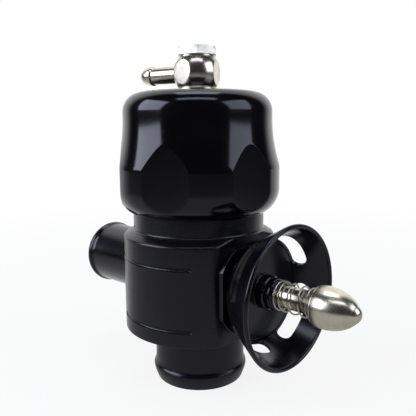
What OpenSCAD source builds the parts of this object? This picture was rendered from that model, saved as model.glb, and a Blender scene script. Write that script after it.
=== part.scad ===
// Dual-port blow-off valve: a piston valve with a screw cap, a hose outlet and a sprung trumpet vent.
// The origin is the middle of the inlet's end face, +Z runs up the piston, +X runs out of the trumpet.

/* [Inlet hose tail] */
// Outer diameter of the inlet tube
inlet_d = 34; // [31:0.5:36]
// Bore of the inlet tube
inlet_bore_d = 28; // [24:0.5:29]
// Length of the inlet tube below the body
inlet_len = 21; // [17:0.5:30]
// How far the hose bead stands out of the tube
inlet_bead_rise = 0.8; // [0.4:0.1:1.2]
// Height of the hose bead's crest above the inlet's end
inlet_bead_pos = 4.6; // [4:0.1:7]
// Width of the seating step round the inlet's thread
inlet_step = 1; // [0.6:0.1:1.4]

/* [Body] */
// Diameter of the body
body_d = 56; // [53:0.5:62]
// Height of the straight part of the body
body_h = 34.6; // [32:0.2:40]
// Thickness of the floor that the inlet screws into
body_floor_t = 6; // [5:0.5:8]
// Height of the sloping shoulder
shoulder_h = 1.8; // [1.2:0.1:4]
// Diameter of the neck that the cap screws on
neck_d = 48.4; // [45:0.1:50]
// Length of the neck above the shoulder
neck_h = 19.1; // [15:0.1:20]
// Depth of the flats that the ports seat on
flat_depth = 4.2; // [3.2:0.1:5]
// Height of the port axis above the body's underside
port_h = 18.1; // [17.6:0.1:21]
// Diameter of the port threads
port_thread_d = 27; // [25:0.5:28]

/* [Decorative grooves] */
// Width of each groove
groove_w = 1.3; // [0.8:0.1:2]
// Angle that each groove spans on the front
groove_span = 76; // [40:1:90]
// Distance from the underside to the lower groove
groove_low = 5.6; // [3:0.1:9]
// Distance from the lower groove to the upper groove
groove_gap = 21.4; // [15:0.1:24]

/* [Piston] */
// Diameter of the bore that the piston runs in
bore_d = 38; // [36.5:0.5:40]
// Radial running clearance of the piston
piston_fit = 0.05; // [0.03:0.01:0.09]
// Height of the piston
piston_h = 29; // [25:0.5:32]
// Wall of the piston's skirt
piston_wall = 2.6; // [2.2:0.1:3.5]
// Thickness of the piston's crown
piston_crown_t = 3.4; // [2.8:0.1:5]
// Wire of the piston's spring
spring_wire = 2.6; // [1.6:0.1:3]
// Turns of the piston's spring
spring_turns = 8; // [6:0.5:9]

/* [Cap] */
// Greatest diameter of the cap
cap_d = 59.8; // [58:0.1:62]
// Diameter of the cap under its top edge
cap_top_d = 54.2; // [51:0.2:56]
// Height of the cap
cap_h = 44.2; // [41:0.1:50]
// Width across the cap's six flats
cap_af = 57.4; // [56:0.1:58.5]
// Angle of the first flat from the trumpet's direction
cap_flat_turn = -7; // [-30:0.2:30]
// Length of neck that shows below the cap
cap_gap = 5.2; // [4.5:0.1:8]
// Radius of the cap's top edge
cap_top_fillet = 7; // [4:0.1:8]
// Radius of the cap's lower edge
cap_low_fillet = 10; // [7:0.1:11]
// Height from the cap's underside to the middle of its shoulder
cap_shoulder_h = 18.2; // [14:0.1:20]
// Length of the hollow flare above the shoulder
cap_flare_h = 17.3; // [14:0.1:18]
// Thickness of the cap's crown
cap_crown_t = 7; // [5:0.1:9]

/* [Port flanges] */
// Width across the four wrench flats of a flange
flange_af = 30; // [28.5:0.5:32]
// Diameter across a flange's round corners
flange_d = 34; // [33:0.5:40]
// Thickness of a flange
flange_t = 2; // [1.6:0.1:4]

/* [Outlet hose tail] */
// Outer diameter of the outlet tube
outlet_d = 25; // [23:0.5:26]
// Bore of the outlet tube
outlet_bore_d = 20; // [17:0.5:20.5]
// Distance from the piston's axis to the outlet's end
outlet_reach = 58; // [45:0.5:70]
// How far the outlet's bead stands out of the tube
outlet_bead_rise = 0.75; // [0.4:0.05:1.2]
// Distance from the outlet's end to its bead's crest
outlet_bead_pos = 3.2; // [2.8:0.1:6]

/* [Trumpet] */
// Outer diameter of the trumpet's neck
neck_od = 26; // [25:0.5:28]
// Bore of the trumpet's throat
throat_d = 19; // [17:0.5:20]
// Length of the trumpet's neck
trumpet_neck_len = 2.15; // [1:0.05:3]
// Wall of the trumpet beside the vent disc
trumpet_wall = 0.9; // [0.8:0.1:2]
// Diameter of the vent disc's face
disc_d = 34; // [30:0.5:36]
// Depth of the sloping seat behind the disc
seat_depth = 3; // [2.4:0.1:4]
// Length of the flare from the seat to the rim
flare_len = 12; // [9:0.5:16]
// Inside diameter of the rim
rim_bore_d = 45.6; // [44:0.2:52]
// Thickness of the rim's lip
rim_lip = 1.6; // [1.5:0.1:2.4]
// Length of each window along the trumpet's axis
window_len = 5; // [3:0.1:6]
// Angle that each window spans
window_span = 68; // [40:1:72]
// Angle of the first window about the trumpet's axis
window_turn = 53; // [0:1:89]

/* [Vent valve] */
// Diameter of the stem
stem_d = 7.6; // [6.5:0.1:8.5]
// Diameter of the stem's threaded ends
stem_thread_d = 6; // [4:0.5:6]
// Radial running clearance of the disc's hub on the stem
hub_fit = 0.05; // [0.03:0.01:0.09]
// Diameter of the disc's hub
hub_d = 11.6; // [11:0.1:15]
// Length of the disc's hub in front of the disc
hub_len = 6.25; // [5:0.05:9]
// Length of the vent spring
vent_spring_len = 14.9; // [12:0.1:18]
// Wire of the vent spring
vent_wire = 0.55; // [0.4:0.05:0.8]
// Turns of the vent spring
vent_turns = 6; // [4:0.1:7]
// Diameter of the bullet nut
bullet_d = 13.5; // [12.4:0.1:15]
// Length of the bullet nut
bullet_len = 13.8; // [12:0.1:18]

/* [Banjo union] */
// Diameter of the union's ball
ball_d = 17.1; // [16.5:0.1:18.5]
// Distance from the piston's axis to each of the ball's three flats
ball_flat = 7.4; // [7:0.1:8]
// Angle of the ball's flats from the line of its nipple
ball_flat_turn = 15; // [0:1:60]
// Height of the union
ball_h = 10.7; // [9.5:0.1:12]
// Thread of the hollow bolt
bolt_d = 10; // [9:0.1:10.4]
// Width across the bolt's head
bolt_af = 13.6; // [12.5:0.1:14]
// Height of the bolt's head
bolt_head_h = 3; // [2.5:0.1:5]
// Thickness of the sealing washer under the union
low_washer_t = 1.4; // [1:0.1:2]
// Thickness of the sealing washer under the bolt's head
top_washer_t = 0.8; // [0.6:0.1:1.5]
// Outer diameter of the nipple's tube
nipple_d = 6.2; // [5.6:0.1:8]
// Bore of the nipple
nipple_bore_d = 3.6; // [2.5:0.1:4]
// Distance from the piston's axis to the nipple's tip
nipple_reach = 24; // [20:0.2:40]
// Angle of the nipple from the outlet's direction
union_turn = 12; // [-90:1:90]
// Length of the nipple's barb
barb_len = 4.8; // [4:0.1:9]
// How far the barb stands out of the tube
barb_rise = 0.45; // [0.2:0.05:0.8]

/* [Hidden] */

black = "#17171b";
satin_black = "#1f1f23";
nickel = "#b9b2a2";
steel = "#a9a9a6";
rubber = "#0d0d0e";
white_ring = "#e6e2d8";

// Fits and gaps
thread_fit = 0.04;
seal_fit = 0.03;
seat_gap = 0.1;
eps = 0.01;
fine = 128;

// Overrun of cutters, broken edges and the hose tails' bore leads
over = 1;
small_edge = 0.3;
break_edge = 0.4;
large_edge = 0.6;
bore_lead = 0.6;
inlet_lead_w = 0.8;
inlet_lead_h = 1;
neck_root = 0.9;
neck_edge = 1;

// Heights up the piston's axis
base_z = inlet_len;
floor_z = base_z + body_floor_t;
inlet_lip = 0.6;
seat_z = floor_z + inlet_lip;
shoulder_z = base_z + body_h;
neck_z = shoulder_z + shoulder_h;
neck_top_z = neck_z + neck_h;
port_z = base_z + port_h;
cap_z = neck_z + cap_gap;
cap_top_z = cap_z + cap_h;
cap_roof_z = cap_top_z - cap_crown_t;

// Radii about the piston's axis
body_r = body_d / 2;
neck_r = neck_d / 2;
bore_r = bore_d / 2;
piston_r = bore_r - piston_fit;
piston_in_r = piston_r - piston_wall;
inlet_r = inlet_d / 2;
inlet_bore_r = inlet_bore_d / 2;
inlet_thread_r = inlet_r - inlet_step;
cap_r = cap_d / 2;
cap_top_r = cap_top_d / 2;
cap_bore_r = neck_r + piston_fit;
cap_wall = 5.2;
cap_room_r = cap_top_r - cap_wall;
cap_drop = 4;
cap_step_z = neck_top_z + cap_drop;

// Distances out along the ports
port_flat = body_r - flat_depth;
port_thread_r = port_thread_d / 2;
outlet_bore_r = outlet_bore_d / 2;
throat_r = throat_d / 2;
stub_gap = 0.7;
stub_end = bore_r + stub_gap;
flange_out = port_flat + flange_t;

// Hose tails: how much slimmer each end is, the ends' edge radius and the length of the beads' back slope
inlet_nose = 0.4;
outlet_nose = 0.9;
tail_edge = 0.5;
bead_back = 1.2;

// Seals with a round section
small_seal = 0.55;
seal_seat = 0.9;
groove_side = 0.15;
inlet_seal_rise = 2;

// Piston details
seal_proud = 0.6;
piston_z = seat_z + seal_proud + seat_gap;
piston_top_z = piston_z + piston_h;
seat_seal_r = (inlet_bore_r + inlet_thread_r) / 2;
ring_h = 2.4;
ring_depth = 1.5;
ring_drop = 5.5;
ring_z = piston_top_z - ring_drop;
piston_seal = 0.75;
ring_pitch = 4.5;
piston_seal_z = ring_z - ring_pitch;

// Piston's spring and its upper seat
spring_gap = 1.2;
spring_r = piston_in_r - spring_gap - spring_wire / 2;
spring_low_z = piston_z + piston_crown_t + seat_gap;
seat_plate_t = 2;
seat_plate_z = cap_roof_z - seat_plate_t - seat_gap / 2;
plate_gap = 0.8;
seat_plate_r = cap_room_r - plate_gap;
spring_top_z = seat_plate_z - seat_gap;
seat_collar_h = 4;
collar_gap = 0.5;
collar_wall = 2;
seat_collar_r = spring_r - spring_wire / 2 - collar_gap;
seat_hole_r = seat_collar_r - collar_wall;

// Vent valve along +X from the piston's axis
throat_lead = 0.35;
seat_in = flange_out + trumpet_neck_len + throat_lead;
disc_face = seat_in + seat_depth;
disc_r = disc_d / 2;
disc_edge_t = 0.8;
disc_gap = 0.12;
disc_side_gap = 0.35;
disc_edge_r = disc_r - disc_side_gap / 2;
seat_out_r = disc_r + disc_side_gap / 2;
seat_slope = atan2(seat_depth - disc_edge_t, seat_out_r - throat_r);
disc_seal = 0.6;
disc_seal_r = (throat_r + disc_r) / 2;
seal_contact = (disc_seal + seal_fit) / cos(seat_slope);
disc_seal_at = seat_in + (disc_seal_r - throat_r) * tan(seat_slope) + seal_contact;
rim_at = disc_face + flare_len;
rim_bore_r = rim_bore_d / 2;
lip_start = -30;
heel_drop = 0.8;
heel_bend = [0.6, 1.2];
spider_t = 3;
spider_setback = 0.9;
spider_face = seat_in - spider_setback;
spider_back = spider_face - spider_t;
spider_hub_wall = 2.2;
spider_hub_r = stem_thread_d / 2 + spider_hub_wall;
spoke_w = 2.4;
spoke_root = 0.6;
hub_end = disc_face + hub_len;
hub_step_h = 3;
hub_step = 0.5;
hub_nose = 1.6;
washer_at = hub_end + vent_spring_len;
washer_t = 0.6;
bullet_at = washer_at + washer_t;
vent_spring_r = (stem_d + hub_d) / 4;
stem_r = stem_d / 2;
stem_thread_r = stem_thread_d / 2;
nut_h = 2.6;
nut_af = 9.5;
bullet_bore_len = 7.5;
bullet_bore_end = 0.8;
thread_end = 0.3;

// Banjo union up the piston's axis
ball_low_z = cap_top_z + low_washer_t;
ball_z = ball_low_z + ball_h / 2;
ball_top_z = ball_low_z + ball_h;
head_z = ball_top_z + top_washer_t;
bolt_r = bolt_d / 2;
eye_gap = 0.3;
eye_bore_r = bolt_r + eye_gap;
waist_depth = 1;
waist_r = bolt_r - waist_depth;
feed_r = 1.4;
washer_gap = 0.15;
low_washer_w = 2.3;
top_washer_w = 1.5;
bolt_head_turn = 15;
waist_margin = 1.6;
head_flare = 3;
head_edge = 0.1;
cross_feed_r = 0.8 * feed_r;
barb_edge = 0.3;
barb_land = 1.2;
barb_slope = 0.7;
tip_wall = 0.55;
tip_pull = 1;

// Points of a round arc in a half section
function arc(centre, r, from, to, n) =
    [for (i = [0:n]) centre + r * [cos(from + (to - from) * i / n), sin(from + (to - from) * i / n)]];

// Points that bend softly from a to c past the corner b
function bend(a, b, c, n) =
    [for (i = [0:n]) let (t = i / n) (1 - t) * (1 - t) * a + 2 * t * (1 - t) * b + t * t * c];

// Stands a piece out of a port: +1 is the trumpet's side and -1 is the outlet's side
module on_port(side) {
    translate([0, 0, port_z]) rotate([0, side * 90, 0]) children();
}

// Stands a piece out along the nipple
module on_nipple() {
    translate([0, 0, ball_z]) rotate([0, -90, 0]) children();
}

// Ring with a round section
module round_ring(r, section) {
    rotate_extrude($fn = fine) translate([r, 0]) circle(r = section, $fn = 24);
}

// Flat ring
module flat_ring(r_out, r_in, h) {
    difference() {
        cylinder(r = r_out, h = h, $fn = fine);
        translate([0, 0, -eps]) cylinder(r = r_in, h = h + 2 * eps, $fn = fine);
    }
}

// Square-sided groove cut into a turned piece of radius r
module turned_groove(r, depth, width) {
    difference() {
        cylinder(r = r + 1, h = width, $fn = fine);
        translate([0, 0, -eps]) cylinder(r = r - depth, h = width + 2 * eps, $fn = fine);
    }
}

// Round wire wound about +Z, close at both ends and open in the middle
module coil(r, wire, length, turns, steps, sides) {
    rings = round(turns * steps);
    closed = 0.72;
    rise = length - wire;
    points = [
        for (i = [0:rings])
        let (t = i / rings, a = 360 * turns * t)
        let (z = wire / 2 + rise * (t - closed * sin(360 * t) / 360 * 180 / PI))
        for (k = [0:sides - 1])
        let (b = 360 * k / sides, rad = r + wire / 2 * cos(b))
        [rad * cos(a), rad * sin(a), z + wire / 2 * sin(b)]
    ];
    walls = [
        for (i = [0:rings - 1])
        for (k = [0:sides - 1])
        [i * sides + k, (i + 1) * sides + k, (i + 1) * sides + (k + 1) % sides, i * sides + (k + 1) % sides]
    ];
    first = [for (k = [0:sides - 1]) k];
    last = [for (k = [sides - 1:-1:0]) rings * sides + k];
    polyhedron(points, concat(walls, [first, last]), convexity = 10);
}

// Outline of a hose tail's outer half section, from its end face past its bead to a shoulder
function hose_tail(r, rise, pos, length, nose) =
    let (nose_r = r - nose)
    let (crest = [r + rise, pos])
    let (back = [r + rise / 2, pos + bead_back])
    concat(
        arc([nose_r - tail_edge, tail_edge], tail_edge, -90, 0, 4),
        bend([nose_r, tail_edge], [r + rise, pos - bead_back], crest, 6),
        bend(crest, [r + rise, pos + bead_back / 2], back, 4),
        bend(back, [r, pos + 1.5 * bead_back], [r, pos + 2.5 * bead_back], 4),
        [[r, length]]
    );

// Flange with four wrench flats and a threaded stub behind it
module port_flange() {
    intersection() {
        translate([0, 0, port_flat]) cylinder(r = flange_d / 2, h = flange_t, $fn = fine);
        translate([-flange_af / 2, -flange_af / 2, port_flat - eps])
            cube([flange_af, flange_af, flange_t + 2 * eps]);
    }
    difference() {
        translate([0, 0, stub_end])
            cylinder(r = port_thread_r - thread_fit, h = port_flat - stub_end + eps, $fn = fine);
        translate([0, 0, stub_seal_at() - small_seal - groove_side])
            turned_groove(port_thread_r - thread_fit, 2 * small_seal, 2 * (small_seal + groove_side));
    }
}

// Place of the seal along a port's stub
function stub_seal_at() = (stub_end + port_flat) / 2;

// Seal on a port's stub
module port_seal() {
    translate([0, 0, stub_seal_at()])
        round_ring(port_thread_r - thread_fit - small_seal, small_seal - seal_fit);
}

module valve_body() {
    outline = concat(
        [[0, base_z], [body_r - small_edge, base_z], [body_r, base_z + small_edge], [body_r, shoulder_z]],
        arc([neck_r + neck_root, neck_z + neck_root], neck_root, 270, 180, 6),
        [[neck_r, neck_top_z - neck_edge], [neck_r - neck_edge, neck_top_z], [0, neck_top_z]]
    );
    color(satin_black) difference() {
        rotate_extrude($fn = fine) polygon(outline);
        translate([0, 0, floor_z]) cylinder(r = bore_r, h = neck_top_z, $fn = fine);
        translate([0, 0, base_z - over])
            cylinder(r = inlet_thread_r, h = body_floor_t + 2 * over, $fn = fine);
        for (side = [-1, 1]) on_port(side) {
            translate([port_z - shoulder_z - shoulder_h, -body_d, port_flat])
                cube([body_d + shoulder_h, 2 * body_d, body_d]);
            cylinder(r = port_thread_r, h = body_d, $fn = fine);
        }
        for (up = [0, groove_gap])
            translate([0, 0, base_z + groove_low + up]) front_groove();
        translate([0, 0, cap_seal_z() - small_seal - groove_side])
            turned_groove(neck_r, 2 * small_seal, 2 * (small_seal + groove_side));
    }
}

// Round-bottomed groove with round ends across the body's front
module front_groove() {
    start = -90 - groove_span / 2;
    rotate([0, 0, start]) rotate_extrude(angle = groove_span, $fn = fine)
        translate([body_r, 0]) circle(r = groove_w / 2, $fn = 24);
    for (a = [start, start + groove_span])
        rotate([0, 0, a]) translate([body_r, 0, 0]) sphere(r = groove_w / 2, $fn = 24);
}

module inlet_spigot() {
    thread_r = inlet_thread_r - thread_fit;
    outline = concat(
        hose_tail(inlet_r, inlet_bead_rise, inlet_bead_pos, base_z, inlet_nose),
        [[thread_r, base_z], [thread_r, seat_z - break_edge], [thread_r - break_edge, seat_z]],
        [[inlet_bore_r + break_edge, seat_z], [inlet_bore_r, seat_z - break_edge]],
        [[inlet_bore_r, inlet_lead_h], [inlet_bore_r + inlet_lead_w, 0]]
    );
    color(satin_black) difference() {
        rotate_extrude($fn = fine) polygon(outline);
        translate([0, 0, inlet_seal_z() - small_seal - groove_side])
            turned_groove(thread_r, 2 * small_seal, 2 * (small_seal + groove_side));
    }
}

// Height of the seal round the inlet's thread
function inlet_seal_z() = base_z + inlet_seal_rise;

module inlet_oring() {
    color(rubber) translate([0, 0, inlet_seal_z()])
        round_ring(inlet_thread_r - thread_fit - small_seal, small_seal - seal_fit);
}

module outlet_spigot() {
    root = port_flat + flange_t / 2;
    tail = hose_tail(outlet_d / 2, outlet_bead_rise, outlet_bead_pos, outlet_reach - root, outlet_nose);
    outline = concat([for (p = tail) [p[0], outlet_reach - p[1]]], [[0, root], [0, outlet_reach]]);
    color(satin_black) on_port(-1) difference() {
        union() {
            port_flange();
            rotate_extrude($fn = fine) polygon(outline);
        }
        cylinder(r = outlet_bore_r, h = outlet_reach + over, $fn = fine);
        translate([0, 0, outlet_reach - bore_lead])
            cylinder(r1 = outlet_bore_r, r2 = outlet_bore_r + 2 * bore_lead, h = 2 * bore_lead, $fn = fine);
    }
}

module outlet_oring() {
    color(rubber) on_port(-1) port_seal();
}

module piston() {
    outline = [
        [0, piston_z], [piston_r - large_edge, piston_z], [piston_r, piston_z + large_edge],
        [piston_r, piston_top_z - break_edge], [piston_r - break_edge, piston_top_z],
        [piston_in_r, piston_top_z], [piston_in_r, piston_z + piston_crown_t], [0, piston_z + piston_crown_t]
    ];
    color(steel) difference() {
        rotate_extrude($fn = fine) polygon(outline);
        translate([0, 0, ring_z]) turned_groove(piston_r, ring_depth, ring_h);
        translate([0, 0, piston_seal_z - piston_seal - groove_side])
            turned_groove(piston_r, 2 * piston_seal, 2 * (piston_seal + groove_side));
        translate([0, 0, piston_z - over])
            flat_ring(seat_seal_r + seal_seat, seat_seal_r - seal_seat, over + 2 * seal_seat - seal_proud);
    }
}

module seat_seal() {
    color(rubber) translate([0, 0, piston_z - seal_proud + seal_seat])
        round_ring(seat_seal_r, seal_seat - seal_fit);
}

module piston_ring() {
    gap = 1.2;
    turn = 140;
    color(white_ring) translate([0, 0, ring_z + seal_fit]) difference() {
        flat_ring(bore_r - seal_fit, piston_r - ring_depth + seal_fit, ring_h - 2 * seal_fit);
        rotate([0, 0, turn]) translate([0, -gap / 2, -eps]) cube([bore_d, gap, ring_h]);
    }
}

module piston_oring() {
    color(rubber) translate([0, 0, piston_seal_z])
        round_ring(piston_r - piston_seal, piston_seal - seal_fit);
}

module main_spring() {
    color(steel) translate([0, 0, spring_low_z])
        coil(spring_r, spring_wire, spring_top_z - spring_low_z, spring_turns, 16, 8);
}

module spring_seat() {
    color(steel) difference() {
        union() {
            translate([0, 0, seat_plate_z]) cylinder(r = seat_plate_r, h = seat_plate_t, $fn = fine);
            translate([0, 0, seat_plate_z - seat_collar_h])
                cylinder(r = seat_collar_r, h = seat_collar_h + eps, $fn = fine);
        }
        translate([0, 0, seat_plate_z - seat_collar_h - over])
            cylinder(r = seat_hole_r, h = seat_collar_h + seat_plate_t + 2 * over, $fn = fine);
    }
}

module cap() {
    flare_top_z = cap_z + cap_shoulder_h + cap_flare_h;
    shoulder = [cap_r, cap_z + cap_shoulder_h];
    step = cap_r - cap_top_r;
    flare_r = (cap_flare_h * cap_flare_h + step * step) / (2 * step);
    flare_end = asin(cap_flare_h / flare_r);
    soft = 1.2;
    near = flare_end - asin(soft / flare_r);
    flare_centre = [cap_top_r + flare_r, flare_top_z];
    before = flare_centre + flare_r * [-cos(near), -sin(near)];
    outline = concat(
        [[0, cap_top_z]],
        arc([cap_top_r - cap_top_fillet, cap_top_z - cap_top_fillet], cap_top_fillet, 90, 0, 12),
        arc(flare_centre, flare_r, 180, 180 + near, 12),
        bend(before, shoulder, shoulder - [0, soft], 6),
        arc([cap_r - cap_low_fillet, cap_z + cap_low_fillet], cap_low_fillet, 0, -90, 12),
        [[0, cap_z]]
    );
    color(black) difference() {
        intersection() {
            rotate_extrude($fn = fine) polygon(outline);
            rotate([0, 0, cap_flat_turn + 30]) translate([0, 0, cap_z - over])
                cylinder(r = cap_af / 2 / cos(30), h = cap_h + 2 * over, $fn = 6);
        }
        translate([0, 0, cap_z - over]) cylinder(r = cap_bore_r, h = cap_step_z - cap_z + over, $fn = fine);
        translate([0, 0, cap_z - over]) cylinder(r = cap_room_r, h = cap_roof_z - cap_z + over, $fn = fine);
        translate([0, 0, cap_roof_z - over])
            cylinder(r = bolt_r + thread_fit, h = cap_crown_t + 2 * over, $fn = 64);
    }
}

// Height of the seal between the neck and the cap
function cap_seal_z() = cap_z + cap_low_fillet;

module cap_oring() {
    color(rubber) translate([0, 0, cap_seal_z()]) round_ring(neck_r - small_seal, small_seal - seal_fit);
}

module low_washer() {
    color(steel) translate([0, 0, cap_top_z])
        flat_ring(bolt_r + low_washer_w, bolt_r + washer_gap, low_washer_t);
}

module banjo_eye() {
    barb_at = nipple_reach - barb_len;
    r = nipple_d / 2;
    tip_r = nipple_bore_d / 2 + tip_wall;
    land_end = barb_at + barb_land;
    slope_at = [r + barb_slope * barb_rise, land_end + barb_slope];
    nipple = concat(
        [[0, waist_r], [r, waist_r], [r, barb_at - barb_edge]],
        [[r + barb_rise, barb_at + barb_edge], [r + barb_rise, land_end]],
        bend(slope_at, [r, nipple_reach - tip_pull], [tip_r, nipple_reach], 6),
        [[0, nipple_reach]]
    );
    color(nickel) rotate([0, 0, union_turn]) difference() {
        union() {
            difference() {
                intersection() {
                    translate([0, 0, ball_z]) sphere(r = ball_d / 2, $fn = 96);
                    translate([0, 0, ball_low_z]) cylinder(r = ball_d, h = ball_h, $fn = 96);
                }
                for (a = [0:120:240]) rotate([0, 0, a + ball_flat_turn])
                    translate([ball_flat, -ball_d / 2, ball_low_z - over])
                        cube([ball_d, ball_d, ball_h + 2 * over]);
            }
            on_nipple() rotate_extrude($fn = 64) polygon(nipple);
        }
        translate([0, 0, ball_low_z - over]) cylinder(r = eye_bore_r, h = ball_h + 2 * over, $fn = 64);
        on_nipple() cylinder(r = nipple_bore_d / 2, h = nipple_reach + over, $fn = 48);
    }
}

module top_washer() {
    color(steel) translate([0, 0, ball_top_z])
        flat_ring(bolt_r + top_washer_w, bolt_r + washer_gap, top_washer_t);
}

module banjo_bolt() {
    end_z = cap_roof_z + over;
    waist_h = ball_h - 2 * waist_margin;
    head_r = bolt_af / 2;
    color(nickel) difference() {
        union() {
            intersection() {
                translate([0, 0, head_z]) rotate([0, 0, bolt_head_turn])
                    cylinder(r = head_r / cos(30), h = bolt_head_h, $fn = 6);
                translate([0, 0, head_z])
                    cylinder(r1 = head_r + head_flare, r2 = head_r - head_edge, h = bolt_head_h, $fn = 64);
            }
            translate([0, 0, end_z]) cylinder(r = bolt_r, h = head_z - end_z + eps, $fn = 64);
        }
        translate([0, 0, ball_z - waist_h / 2]) turned_groove(bolt_r, bolt_r - waist_r, waist_h);
        translate([0, 0, end_z - over]) cylinder(r = feed_r, h = ball_z + feed_r - end_z + over, $fn = 32);
        translate([-bolt_d, 0, ball_z]) rotate([0, 90, 0])
            cylinder(r = cross_feed_r, h = 2 * bolt_d, $fn = 32);
    }
}

// Outer half section of the trumpet, from its neck out to its rim
function trumpet_shell() =
    let (tube_r = neck_od / 2)
    let (root = port_flat + flange_t / 2)
    let (neck_end = flange_out + trumpet_neck_len)
    let (heel = [disc_r + trumpet_wall, disc_face - heel_drop])
    let (lip = rim_lip / 2)
    concat(
        [[throat_r, root], [tube_r, root]],
        bend([tube_r, neck_end], heel - heel_bend, heel, 6),
        arc([rim_bore_r + lip, rim_at - lip], lip, lip_start, 180, 10),
        [[seat_out_r, disc_face], [seat_out_r, disc_face - disc_edge_t], [throat_r, seat_in]]
    );

module trumpet() {
    window_at = disc_face + window_len / 2;
    window_in = disc_r - over;
    round_end = asin(window_len / 2 / disc_r);
    span = window_span - 2 * round_end;
    color(black) on_port(1) difference() {
        union() {
            difference() {
                union() {
                    port_flange();
                    rotate_extrude($fn = fine) polygon(trumpet_shell());
                }
                translate([0, 0, stub_end - over])
                    cylinder(r = throat_r, h = seat_in - stub_end + over + eps, $fn = fine);
            }
            translate([0, 0, spider_back]) cylinder(r = spider_hub_r, h = spider_t, $fn = 48);
            for (a = [0:120:240]) rotate([0, 0, a + 90])
                translate([0, -spoke_w / 2, spider_back]) cube([throat_r + spoke_root, spoke_w, spider_t]);
        }
        translate([0, 0, spider_back - over])
            cylinder(r = stem_thread_r + thread_fit, h = spider_t + 2 * over, $fn = 48);
        for (k = [0:3]) rotate([0, 0, window_turn + 90 * k]) {
            rotate([0, 0, -span / 2]) rotate_extrude(angle = span, $fn = fine)
                translate([window_in, disc_face]) square([disc_r, window_len]);
            for (a = [-span / 2, span / 2]) rotate([0, 0, a]) translate([window_in, 0, window_at])
                rotate([0, 90, 0]) cylinder(r = window_len / 2, h = disc_r, $fn = 32);
        }
    }
}

module trumpet_oring() {
    color(rubber) on_port(1) port_seal();
}

module vent_disc() {
    edge = disc_edge_r;
    back = seat_in + disc_gap;
    hub_r = hub_d / 2;
    bore = stem_r + hub_fit;
    step_at = disc_face + hub_step_h;
    slim_r = hub_r - hub_step;
    outline = concat(
        [[bore, back], [throat_r, back], [edge, back + (edge - throat_r) * tan(seat_slope)]],
        [[edge, disc_face], [hub_r + small_edge, disc_face], [hub_r, disc_face + small_edge]],
        [[hub_r, step_at], [slim_r, step_at + break_edge]],
        bend([slim_r, hub_end - hub_nose], [slim_r, hub_end], [hub_r - hub_nose, hub_end], 5),
        [[bore, hub_end]]
    );
    color(black) on_port(1) difference() {
        rotate_extrude($fn = fine) polygon(outline);
        translate([0, 0, seat_in])
            flat_ring(disc_seal_r + disc_seal, disc_seal_r - disc_seal, disc_seal_at + disc_seal - seat_in);
    }
}

module disc_seal() {
    color(rubber) on_port(1) translate([0, 0, disc_seal_at]) round_ring(disc_seal_r, disc_seal - seal_fit);
}

module stem() {
    bullet_end = bullet_at + bullet_bore_len - bullet_bore_end;
    color(nickel) on_port(1) union() {
        translate([0, 0, spider_face]) cylinder(r = stem_r, h = washer_at - spider_face, $fn = 64);
        translate([0, 0, spider_back - nut_h - thread_end])
            cylinder(r = stem_thread_r, h = bullet_end - spider_back + nut_h + thread_end, $fn = 64);
    }
}

module stem_nut() {
    color(steel) on_port(1) translate([0, 0, spider_back - nut_h]) difference() {
        cylinder(r = nut_af / 2 / cos(30), h = nut_h, $fn = 6);
        translate([0, 0, -over]) cylinder(r = stem_thread_r + thread_fit, h = nut_h + 2 * over, $fn = 48);
    }
}

module vent_spring() {
    color(steel) on_port(1) translate([0, 0, hub_end + seat_gap])
        coil(vent_spring_r, vent_wire, vent_spring_len - 2 * seat_gap, vent_turns, 24, 6);
}

module spring_washer() {
    color(nickel) on_port(1) translate([0, 0, washer_at])
        flat_ring(bullet_d / 2 - small_edge, stem_thread_r + thread_fit, washer_t);
}

module bullet() {
    r = bullet_d / 2;
    tip = bullet_at + bullet_len;
    straight = 3.4;
    shoulder = [0.92 * r, tip - 4.6];
    nose = [2.8, tip - 1.5];
    nose_pull = 1.7;
    outline = concat(
        [[0, bullet_at], [r - small_edge, bullet_at], [r, bullet_at + small_edge]],
        bend([r, bullet_at + straight], shoulder, nose, 10),
        bend(nose, [nose_pull, tip], [0, tip], 6)
    );
    color(nickel) on_port(1) difference() {
        rotate_extrude($fn = fine) polygon(outline);
        translate([0, 0, bullet_at - over])
            cylinder(r = stem_thread_r + thread_fit, h = bullet_bore_len + over, $fn = 48);
    }
}

valve_body();
inlet_spigot();
inlet_oring();
outlet_spigot();
outlet_oring();
piston();
seat_seal();
piston_ring();
piston_oring();
main_spring();
spring_seat();
cap();
cap_oring();
low_washer();
banjo_eye();
top_washer();
banjo_bolt();
trumpet();
trumpet_oring();
vent_disc();
disc_seal();
stem();
stem_nut();
vent_spring();
spring_washer();
bullet();
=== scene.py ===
"""Looks of the blow-off valve: fine meshes, finishes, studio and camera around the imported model."""

import functools
import logging
import math
from abc import ABC, abstractmethod
from collections.abc import Callable, Sequence
from dataclasses import dataclass, field
from enum import Enum

import bmesh
import bpy
import numpy as np
from mathutils import Matrix, Vector


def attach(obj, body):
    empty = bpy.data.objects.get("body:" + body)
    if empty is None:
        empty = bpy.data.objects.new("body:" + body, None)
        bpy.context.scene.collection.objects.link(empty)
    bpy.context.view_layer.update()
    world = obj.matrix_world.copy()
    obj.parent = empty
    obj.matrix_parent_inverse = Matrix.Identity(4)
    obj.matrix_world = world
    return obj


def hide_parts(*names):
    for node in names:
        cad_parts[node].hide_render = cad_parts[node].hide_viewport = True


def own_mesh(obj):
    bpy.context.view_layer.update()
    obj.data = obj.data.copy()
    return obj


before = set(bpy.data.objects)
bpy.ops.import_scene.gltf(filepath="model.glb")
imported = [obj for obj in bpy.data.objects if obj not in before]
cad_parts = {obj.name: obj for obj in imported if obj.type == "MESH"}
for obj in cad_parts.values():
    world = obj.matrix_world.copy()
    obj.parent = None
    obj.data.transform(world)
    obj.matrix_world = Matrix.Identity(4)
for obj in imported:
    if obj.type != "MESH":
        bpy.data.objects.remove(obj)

LOG = logging.getLogger("valve")
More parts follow.
